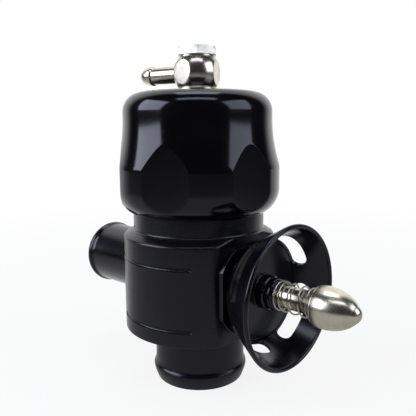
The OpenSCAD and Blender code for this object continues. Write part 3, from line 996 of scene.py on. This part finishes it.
@dataclass
class ScrewCap(Assembly):
    """Tall screw cap with six hollow grips, in mm."""

    low_z: float = 62.6
    top_z: float = 106.8
    r: float = 29.9
    top_r: float = 27.1
    grips: int = 6
    half_flat: float = 28.7
    hollow: float = 0.8
    grip_turn: float = -7.0
    grip_blend: float = 0.06
    top_fillet: float = 7.0
    low_fillet: float = 10.0
    shoulder_z: float = 80.8
    flare_h: float = 17.3
    soft: float = 1.2
    bore_r: float = 24.25
    room_r: float = 21.9
    step_z: float = 80.5
    roof_z: float = 99.8
    hole_r: float = 5.04

    def outline(self) -> list[Point]:
        """Half section of the cap: outside down, then inside up."""
        step = self.r - self.top_r
        flare_r = (self.flare_h ** 2 + step ** 2) / (2 * step)
        near = math.degrees(math.asin(self.flare_h / flare_r) - math.asin(self.soft / flare_r))
        centre = (self.top_r + flare_r, self.shoulder_z + self.flare_h)
        flare = arc(centre, flare_r, 180, 180 + near, 44)
        low = (self.r - self.low_fillet, self.low_z + self.low_fillet)
        low_end = -math.degrees(math.acos((self.bore_r - low[0]) / self.low_fillet))
        wall = np.linspace(self.shoulder_z - self.soft, low[1], 10)[1:-1]
        return [
            (self.hole_r, self.top_z),
            *arc((self.top_r - self.top_fillet, self.top_z - self.top_fillet), self.top_fillet, 90, 0, 28),
            *flare,
            *bend(flare[-1], (self.r, self.shoulder_z), (self.r, self.shoulder_z - self.soft), 12)[1:],
            *[(self.r, float(z)) for z in wall],
            *arc(low, self.low_fillet, 0, low_end, 24),
            (self.bore_r, self.step_z), (self.room_r, self.step_z),
            (self.room_r, self.roof_z), (self.hole_r, self.roof_z),
        ]

    def shape(self, az: Array, radius: Array, along: Array) -> Array:
        """Cuts the grips, each a flat that is a little hollow.

        Args:
            az: angles about the piston's axis.
            radius: radii before the cut.
            along: heights, which the grips don't depend on.

        Returns:
            Radii after the cut.
        """
        half_chord = math.sqrt(self.r ** 2 - self.half_flat ** 2)
        bow = (half_chord ** 2 + self.hollow ** 2) / (2 * self.hollow)
        centre = self.half_flat - self.hollow + bow
        off = fold(az, self.grips, self.grip_turn)
        face = centre * np.cos(off) - np.sqrt(bow ** 2 - (centre * np.sin(off)) ** 2)
        return soft_min(radius, face, self.grip_blend)

    def build(self) -> None:
        """Makes and dresses the cap."""
        piece = turned("cap_shell", self.outline(), Way.PISTON, steps=600, edge=BROAD_EDGE, shape=self.shape)
        self.dress(piece, "cap", Body.CAP, Slot.GLOSS, Finishes.gloss("cap", Way.PISTON, roughness=0.12))


@dataclass
class BanjoUnion(Assembly):
    """Ball-shaped hose union with its hollow bolt and washers, in mm."""

    low_z: float = 108.2
    top_z: float = 118.9
    eye_r: float = 5.3
    ball_edge: float = 0.25
    ball_blend: float = 0.05
    head_z: float = 119.7
    head_top_z: float = 122.7
    head_half: float = 6.8
    head_turn: float = 45.0
    head_blend: float = 0.08
    head_in: float = 0.1
    head_out: float = 3.0
    bolt_r: float = 5.0
    bolt_end_z: float = 100.8
    waist_r: float = 4.0
    waist_half: float = 3.75
    feed_r: float = 1.4
    washer_fit: float = 0.15
    low_washer_r: float = 7.3
    top_washer_r: float = 6.5
    nipple_r: float = 3.1
    nipple_bore: float = 1.8
    nipple_root: float = 6.0
    nipple_end: float = 24.0
    tip_wall: float = 0.55
    barb_len: float = 4.8
    barb_rise: float = 0.45
    barb_step: float = 0.3
    barb_land: float = 1.2
    taper_start: float = 1.9
    taper_share: float = 0.7
    taper_pull: float = 1.0
    drill_past: float = 2.0

    def eye(self) -> Piece:
        """The ball with its three flats and its nipple."""
        tilt = math.degrees(math.asin((self.top_z - BALL_Z) / BALL_R))
        round_side = arc((0, BALL_Z), BALL_R, -tilt, tilt, 48)
        ball = [(self.eye_r, self.low_z), *round_side, (self.eye_r, self.top_z)]
        shape = flats(BALL_FLATS, BALL_FLAT_TURN, BALL_FLAT, self.ball_blend)
        piece = turned("banjo_ball", ball, Way.PISTON, steps=360, edge=self.ball_edge, shape=shape)
        r, end, barb = self.nipple_r, self.nipple_end, self.nipple_end - self.barb_len
        high, tip = r + self.barb_rise, (self.nipple_bore + self.tip_wall, end)
        taper = (r + self.barb_rise * self.taper_share, barb + self.taper_start)
        tube = [
            (0, self.nipple_root), (r, self.nipple_root), (r, barb - self.barb_step),
            (high, barb + self.barb_step), (high, barb + self.barb_land),
            *bend(taper, (r, end - self.taper_pull), tip, 16), (0, end),
        ]
        nipple = turned("nipple", tube, Way.NIPPLE, steps=128, edge=BROAD_EDGE, loop=False)
        cut(piece, [nipple], join=True)
        bore = drill("drill_nipple", self.nipple_bore, (0, end + self.drill_past), Way.NIPPLE, steps=64)
        return cut(piece, [bore])

    def bolt(self) -> Piece:
        """The hollow bolt with its chamfered head."""
        low, high, feed_z = BALL_Z - self.waist_half, BALL_Z + self.waist_half, BALL_Z + self.feed_r
        outline = [
            (0, self.head_top_z), (self.head_half - self.head_in, self.head_top_z),
            (self.head_half + self.head_out, self.head_z), (self.bolt_r, self.head_z),
            (self.bolt_r, high), (self.waist_r, high), (self.waist_r, low), (self.bolt_r, low),
            (self.bolt_r, self.bolt_end_z), (self.feed_r, self.bolt_end_z),
            (self.feed_r, feed_z), (0, feed_z),
        ]
        shape = flats(6, self.head_turn, self.head_half, self.head_blend)
        return turned("banjo_screw", outline, Way.PISTON, steps=240, edge=SMALL_EDGE, loop=False, shape=shape)

    def build(self) -> None:
        """Makes and dresses the union."""
        inner = self.bolt_r + self.washer_fit
        low, top = (
            ring(f"seal_washer_{place}", (inner, r), heights, Way.PISTON, steps=160, edge=SMALL_EDGE)
            for place, r, heights in (
                ("low", self.low_washer_r, (ScrewCap.top_z, self.low_z)),
                ("top", self.top_washer_r, (self.top_z, self.head_z)),
            )
        )
        self.dress(low, "low_washer", Body.CAP, Slot.WASHER, Finishes.washer())
        self.dress(self.eye(), "banjo_eye", Body.CAP, Slot.NICKEL, Finishes.faced_nickel())
        self.dress(top, "top_washer", Body.CAP, Slot.WASHER, Finishes.washer())
        self.dress(self.bolt(), "banjo_bolt", Body.CAP, Slot.NICKEL, Finishes.frosted())


@dataclass
class TrumpetVent(Assembly):
    """Flared vent with its sprung disc, stem and bullet nut, in mm."""

    throat_r: float = 9.5
    neck_r: float = 13.0
    neck_end: float = 27.95
    seat_in: float = 28.3
    seat_fit: float = 0.12
    seat_out_r: float = 17.175
    seat_depth: float = 3.0
    disc_face: float = 31.3
    disc_r: float = 17.0
    disc_edge_r: float = 16.825
    disc_edge_t: float = 0.8
    seal_r: float = 13.25
    seal_half: float = 0.6
    seal_floor: float = 30.63
    rim_at: float = 43.3
    rim_r: float = 22.8
    lip: float = 1.6
    wall: float = 0.9
    heel_drop: float = 0.8
    heel_pull: Point = (0.6, 1.2)
    window_len: float = 5.0
    window_span: float = 68.0
    window_turn: float = 53.0
    windows: int = 4
    spider_back: float = 24.4
    spider_face: float = 27.4
    spider_hub_r: float = 5.2
    spokes: int = 3
    spoke_turn: float = 90.0
    spoke_w: float = 2.4
    spoke_in: float = 1.0
    spoke_sunk: float = 0.6
    stem_r: float = 3.8
    stem_fit: float = 0.05
    thread_r: float = 3.0
    thread_len: float = 6.7
    nut_back: float = 21.5
    hub_r: float = 5.8
    hub_root: float = 0.3
    hub_step: Point = (3.0, 3.4)
    hub_step_in: float = 0.5
    hub_round: float = 1.6
    hub_end: float = 37.55
    spring_r: float = 4.8
    spring_wire: float = 0.55
    spring_turns: float = 6.0
    spring_gap: float = 0.1
    lift: float = 5.0
    washer_at: float = 52.45
    washer_in: float = 0.3
    bullet_at: float = 53.05
    bullet_r: float = 6.75
    bullet_bore: float = 7.5
    bullet_straight: float = 3.4
    bulge_share: float = 0.92
    bulge_back: float = 4.6
    nose_r: float = 2.8
    nose_back: float = 1.5
    nose_pull: float = 1.7
    tip: float = 66.85
    flange: PortFlange = field(default_factory=PortFlange)

    @property
    def thread_hole(self) -> float:
        """Radius of a hole for the stem's thread."""
        return self.thread_r + THREAD_FIT

    def horn_outline(self) -> list[Point]:
        """Half section of the trumpet with its flange."""
        heel = (self.disc_r + self.wall, self.disc_face - self.heel_drop)
        pulled = (heel[0] - self.heel_pull[0], heel[1] - self.heel_pull[1])
        lip = self.lip / 2
        return [
            *self.flange.outline(self.throat_r, self.neck_r),
            *bend((self.neck_r, self.neck_end), pulled, heel, 16),
            *arc((self.rim_r + lip, self.rim_at - lip), lip, -30, 180, 24),
            (self.seat_out_r, self.disc_face), (self.seat_out_r, self.disc_face - self.disc_edge_t),
            (self.throat_r, self.seat_in),
        ]

    def window(self, turn: float) -> Piece:
        """Cutter of one window: a curved slot with round ends.

        Args:
            turn: angle of its middle about the port, in degrees.

        Returns:
            The cutter.
        """
        round_points, straight_points = 17, 25
        half = self.window_len / 2
        middle = self.disc_face + half
        end = math.radians(self.window_span / 2) - math.asin(half / self.disc_r)
        inner, outer = self.disc_r - 1, 2 * self.disc_r
        turns = np.linspace(-math.pi / 2, math.pi / 2, round_points)
        right = [(end + half * math.cos(t) / self.disc_r, half * math.sin(t)) for t in turns]
        across = [(a, half) for a in np.linspace(end, -end, straight_points)[1:-1]]
        rim = np.array(right + across + [(-a, -s) for a, s in right + across])
        az = rim[:, 0] + math.radians(turn)
        rings = [np.stack([r * np.cos(az), r * np.sin(az), middle + rim[:, 1]], -1) for r in (inner, outer)]
        count = len(rim)
        walls = [(i, (i + 1) % count, count + (i + 1) % count, count + i) for i in range(count)]
        caps = [tuple(range(count)), tuple(range(2 * count - 1, count - 1, -1))]
        return finished("window", placed(np.concatenate(rings), Way.TRUMPET), walls + caps)

    def spoke(self, turn: float) -> Piece:
        """One spoke of the spider that carries the stem.

        Args:
            turn: its angle about the port, in degrees.

        Returns:
            The spoke.
        """
        inner, outer = self.thread_r + self.spoke_in, self.throat_r + self.spoke_sunk
        size = (outer - inner, self.spoke_w, self.spider_face - self.spider_back)
        work = bmesh.new()
        bmesh.ops.create_cube(work, size=1.0)
        corners = np.array([v.co for v in work.verts]) * size
        faces = [[v.index for v in f.verts] for f in work.faces]
        work.free()
        corners += ((inner + outer) / 2, 0, (self.spider_back + self.spider_face) / 2)
        spin = np.array(Matrix.Rotation(math.radians(turn), 3, "Z"))
        return finished("spoke", placed(corners @ spin.T, Way.TRUMPET), faces)

    def horn(self) -> Piece:
        """The trumpet with its windows and spider."""
        piece = turned("trumpet_horn", self.horn_outline(), Way.TRUMPET, steps=320, shape=self.flange.shape)
        cut(piece, [self.window(self.window_turn + 360 / self.windows * k) for k in range(self.windows)])
        radii, ends = (self.thread_hole, self.spider_hub_r), (self.spider_back, self.spider_face)
        hub = ring("spider_hub", radii, ends, Way.TRUMPET, steps=96)
        spokes = [self.spoke(self.spoke_turn + 360 / self.spokes * k) for k in range(self.spokes)]
        return cut(piece, [hub, *spokes], join=True)

    def disc(self) -> Piece:
        """The vent disc with its stepped hub."""
        back, face, bore = self.seat_in + self.seat_fit, self.disc_face, self.stem_r + self.stem_fit
        rise = (self.seat_depth - self.disc_edge_t) / (self.seat_out_r - self.throat_r)
        hub, thin, end, root = self.hub_r, self.hub_r - self.hub_step_in, self.hub_end, self.hub_root
        step_low, step_high = self.hub_step
        inner, outer = self.seal_r - self.seal_half, self.seal_r + self.seal_half
        low_inner, low_outer, low_edge = (
            (r, back + (r - self.throat_r) * rise) for r in (inner, outer, self.disc_edge_r)
        )
        outline = [
            (bore, back), (self.throat_r, back),
            low_inner, (inner, self.seal_floor), (outer, self.seal_floor), low_outer,
            low_edge, (self.disc_edge_r, face),
            *bend((hub + root, face), (hub, face), (hub, face + root), 6),
            (hub, face + step_low), (thin, face + step_high),
            *bend((thin, end - self.hub_round), (thin, end), (hub - self.hub_round, end), 12),
            (bore, end),
        ]
        return turned("vent_plate", outline, Way.TRUMPET, steps=288, edge=FINE_EDGE)

    def rod(self) -> Piece:
        """The stem with its threaded ends."""
        end = self.bullet_at + self.thread_len
        outline = [
            (0, self.nut_back), (self.thread_r, self.nut_back), (self.thread_r, self.spider_face),
            (self.stem_r, self.spider_face), (self.stem_r, self.washer_at), (self.thread_r, self.washer_at),
            (self.thread_r, end), (0, end),
        ]
        return turned("stem_rod", outline, Way.TRUMPET, steps=128, edge=FINE_EDGE, loop=False)

    def nose(self) -> Piece:
        """The bullet nut."""
        r, start, tip, bore = self.bullet_r, self.bullet_at, self.tip, self.thread_hole
        nose = (self.nose_r, tip - self.nose_back)
        outline = [
            (0, start + self.bullet_bore), (bore, start + self.bullet_bore), (bore, start), (r, start),
            *bend((r, start + self.bullet_straight), (r * self.bulge_share, tip - self.bulge_back), nose, 32),
            *bend(nose, (self.nose_pull, tip), (0, tip), 20)[1:],
        ]
        return turned("bullet_nut", outline, Way.TRUMPET, steps=192, edge=BROAD_EDGE, loop=False)

    def washer(self) -> Piece:
        """The washer between the spring and the bullet nut."""
        radii, ends = (self.thread_hole, self.bullet_r - self.washer_in), (self.washer_at, self.bullet_at)
        return ring("thrust_washer", radii, ends, Way.TRUMPET, steps=160, edge=FINE_EDGE)

    def spring(self) -> None:
        """Winds and dresses the spring."""
        start, end = self.hub_end + self.spring_gap, self.washer_at - self.spring_gap
        wire = coiled(
            "vent_coil", Way.TRUMPET, start, end - start, self.spring_r, self.spring_wire, self.spring_turns
        )
        self.dress(wire, "vent_spring", Body.HOUSING, Slot.WIRE, Finishes.wire(Way.TRUMPET))
        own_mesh(wire)

    def build(self) -> None:
        """Makes and dresses the vent."""
        gloss, nickel = Finishes.gloss("vent", Way.TRUMPET, roughness=0.2), Finishes.nickel(Way.TRUMPET)
        for make, node, body, slot, finish in (
            (self.horn, "trumpet", Body.HOUSING, Slot.GLOSS, gloss),
            (self.disc, "vent_disc", Body.DISC, Slot.GLOSS, gloss),
            (self.rod, "stem", Body.HOUSING, Slot.NICKEL, nickel),
            (self.washer, "spring_washer", Body.HOUSING, Slot.NICKEL, nickel),
            (self.nose, "bullet", Body.HOUSING, Slot.NICKEL, nickel),
        ):
            self.dress(make(), node, body, slot, finish)
        self.spring()
        self.dress_nodes(Finishes.rubber(), "disc_seal")
        self.dress_nodes(Finishes.wire(Way.TRUMPET), "stem_nut")


@dataclass
class PistonStack(Assembly):
    """Piston with its seals, spring and spring seat, in mm."""

    spring_low: float = 31.8
    spring_top: float = 97.65
    spring_r: float = 13.85
    wire: float = 2.6
    turns: float = 8.0
    lift: float = 14.0
    travel: float = 3.1

    def spring_half(self, name: str, part: Point, joint: str, stroke: float) -> None:
        """Half of the main spring.

        Args:
            name: name of the piece.
            part: shares of the wire where the half starts and ends.
            joint: not used.
            stroke: not used.
        """
        low, length = self.spring_low, self.spring_top - self.spring_low
        coil = coiled(name, Way.PISTON, low, length, self.spring_r, self.wire, self.turns, part)
        self.dress(coil, "main_spring", Body.HOUSING, Slot.WIRE, Finishes.wire(Way.PISTON))
        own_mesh(coil)

    def build(self) -> None:
        """Winds the spring and dresses the rest."""
        self.spring_half("piston_coil_low", (0.0, 0.5), "piston_lift", self.lift)
        self.spring_half("piston_coil_top", (0.5, 1.0), "cap_travel", self.travel)
        self.dress_nodes(Finishes.aluminium(), "piston", "spring_seat")
        self.dress_nodes(Finishes.rubber(), "seat_seal", "piston_oring")
        self.dress_nodes(Finishes.plastic(), "piston_ring")


# Studio


@dataclass(frozen=True)
class Softbox:
    """A soft lamp that faces the valve."""

    name: str
    azimuth: float
    elevation: float
    distance: float
    width: float
    height: float
    radiance: float
    colour: tuple[float, float, float] = (0.84, 0.88, 1.0)

    def build(self, target: Vector) -> None:
        """Hangs the lamp.

        Args:
            target: the point that it faces.
        """
        lamp = bpy.data.lights.new(self.name, "AREA")
        lamp.shape = "RECTANGLE"
        lamp.size = self.width
        lamp.size_y = self.height
        lamp.energy = self.radiance * math.pi * self.width * self.height
        lamp.color = self.colour
        az, el = math.radians(self.azimuth), math.radians(self.elevation)
        away = Vector((math.cos(el) * math.cos(az), math.cos(el) * math.sin(az), math.sin(el)))
        held = bpy.data.objects.new(self.name, lamp)
        held.location = target + away * self.distance
        held.rotation_euler = away.to_track_quat("Z", "Y").to_euler()
        held.visible_camera = False
        bpy.context.scene.collection.objects.link(held)
        LOG.info("%s: lamp", self.name)


@dataclass(frozen=True)
class Paper(Finish):
    """White table paper that keeps the shadow and pales into the background."""

    behind: Vector
    light: Colour = (0.86, 0.86, 0.86, 1)
    dark: Colour = (0.80, 0.80, 0.80, 1)
    glow: float = 0.86
    near: float = 0.10
    far: float = 0.50
    mirrored: float = 0.95

    def paint(self, shader: Shader) -> None:
        """Diffuse paper with a share of plain white for the camera, and a painted reflection for mirrors:
        white behind the valve, dim on the camera's side.
        """
        x, y, _ = shader.place()
        reach = x.hypot(y)
        camera, glossy = shader.rays()
        fibre = shader.noise(scale=900.0)
        grain = shader.noise(scale=40.0)
        tone = shader.mix(fibre * 0.5 + grain * 0.5, self.dark, self.light)
        matt = {"Base Color": tone, "Roughness": 1.0, "Specular IOR Level": 0.0}
        cloth = shader.node("ShaderNodeBsdfPrincipled", {}, matt)
        white = shader.node("ShaderNodeEmission", {}, {"Color": WHITE, "Strength": 1.0})
        # Painted reflection: mirrors see the paper as a glow, white behind the valve and painted dim on the
        # camera's side, from 0.4 near the valve to 0.08 far off.
        back = (x * self.behind.x + y * self.behind.y) / (reach + 0.01)
        rear = back.ramp(0.2, 0.75)
        lit = rear + (1 - rear) * reach.ramp(0.15, 0.7, 0.4, 0.08)
        painted_floor_reflection = shader.node("ShaderNodeEmission", {}, {"Color": shader.mix(lit, BLACK, WHITE)})
        seen = camera * reach.ramp(self.near, self.far, self.glow, 1.0)
        base = shader.node("ShaderNodeMixShader", {}, {0: seen, 1: cloth, 2: white})
        full = shader.node("ShaderNodeMixShader", {}, {0: glossy * self.mirrored, 1: base, 2: painted_floor_reflection})
        shader.node("ShaderNodeOutputMaterial", {}, {"Surface": full})


@dataclass
class Studio:
    """Camera, table, lamps and surroundings."""

    eye: Vector = field(default_factory=lambda: Vector((133.58, -133.58, 94.08)) * MM)
    lens: float = 44.11
    pitch: float = 8.92
    roll: float = -0.4423
    pan: float = 1.0714
    facing: float = 45.0
    target: Vector = field(default_factory=lambda: Vector((0, 0, 0.075)))
    ambient: float = 0.35
    room: float = 0.022
    floor_half: float = 3.0
    lamps: tuple[Softbox, ...] = (
        Softbox("left_box", -121.0, 25.0, 0.9, 0.7, 0.61, 4.5),
        Softbox("right_box", 21.0, 25.0, 0.9, 0.62, 0.61, 2.3),
        Softbox("top_box", 135.0, 80.0, 0.9, 0.5, 0.3, 2.2),
        Softbox("front_box", -47.0, 62.0, 0.9, 0.72, 0.18, 2.8),
    )

    def camera(self) -> None:
        """Stands the camera where the photograph was taken from."""
        pitch, roll, pan = (math.radians(a) for a in (self.pitch, self.roll, self.pan))
        ahead = Vector((math.sin(pan) * math.cos(pitch), math.cos(pan) * math.cos(pitch), -math.sin(pitch)))
        right = Vector((math.cos(pan), -math.sin(pan), 0))
        up = right.cross(ahead)
        side = right * math.cos(roll) + up * math.sin(roll)
        top = up * math.cos(roll) - right * math.sin(roll)
        spin = Matrix.Rotation(math.radians(self.facing), 3, "Z")
        turn = Matrix((spin @ side, spin @ top, spin @ -ahead)).transposed()
        data = bpy.data.cameras.new("camera")
        data.lens = self.lens
        data.sensor_width = 36.0
        data.clip_start = 0.005
        held = bpy.data.objects.new("camera", data)
        held.matrix_world = Matrix.Translation(self.eye) @ turn.to_4x4()
        bpy.context.scene.collection.objects.link(held)
        bpy.context.scene.camera = held

    def behind(self) -> Vector:
        """Level direction from the camera past the valve."""
        return Vector((-self.eye.x, -self.eye.y, 0)).normalized()

    def table(self) -> None:
        """Lays the paper."""
        half = self.floor_half / MM
        corners = np.array([(-half, -half, 0), (half, -half, 0), (half, half, 0), (-half, half, 0)], float)
        piece = finished("table", corners, [(0, 1, 2, 3)])
        piece.data.materials.append(Paper(name="paper", behind=self.behind().freeze()).material())

    def surroundings(self) -> None:
        """White behind the valve and dim on the camera's side, with plain light from all round."""
        world = bpy.data.worlds.new("studio")
        bpy.context.scene.world = world
        world.use_nodes = True
        shader = Shader(world.node_tree)
        way = shader.node("ShaderNodeTexCoord", {}, {}, "Generated")
        split = shader.node("ShaderNodeSeparateXYZ", {}, {0: way})
        x, y = split, split.other("Y")
        level = (x * x + y * y + 0.0001) ** 0.5
        behind = self.behind()
        back = ((x * behind.x + y * behind.y) / level).ramp(0.42, 0.74)
        camera, mirrored = shader.rays()
        plain = (1 - camera - mirrored) * self.ambient
        strength = camera + mirrored * (back * (1 - self.room) + self.room) + plain
        colour = shader.mix(strength, BLACK, WHITE)
        made = shader.node("ShaderNodeBackground", {}, {"Color": colour})
        shader.node("ShaderNodeOutputWorld", {}, {"Surface": made})

    def build(self) -> None:
        """Makes the whole studio."""
        self.camera()
        self.table()
        self.surroundings()
        for lamp in self.lamps:
            lamp.build(self.target)
        bpy.context.scene.view_settings.view_transform = "Standard"


def main() -> None:
    """Builds the valve and its studio and logs the pieces of each group."""
    logging.basicConfig(level=logging.INFO, format="%(name)s %(message)s")
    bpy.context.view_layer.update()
    Studio().build()
    for group in (ValveBody(), ScrewCap(), BanjoUnion(), TrumpetVent(), PistonStack()):
        group.build()
        LOG.info("%s: %d pieces", type(group).__name__, len(group.pieces))


if __name__ == "__main__":
    main()
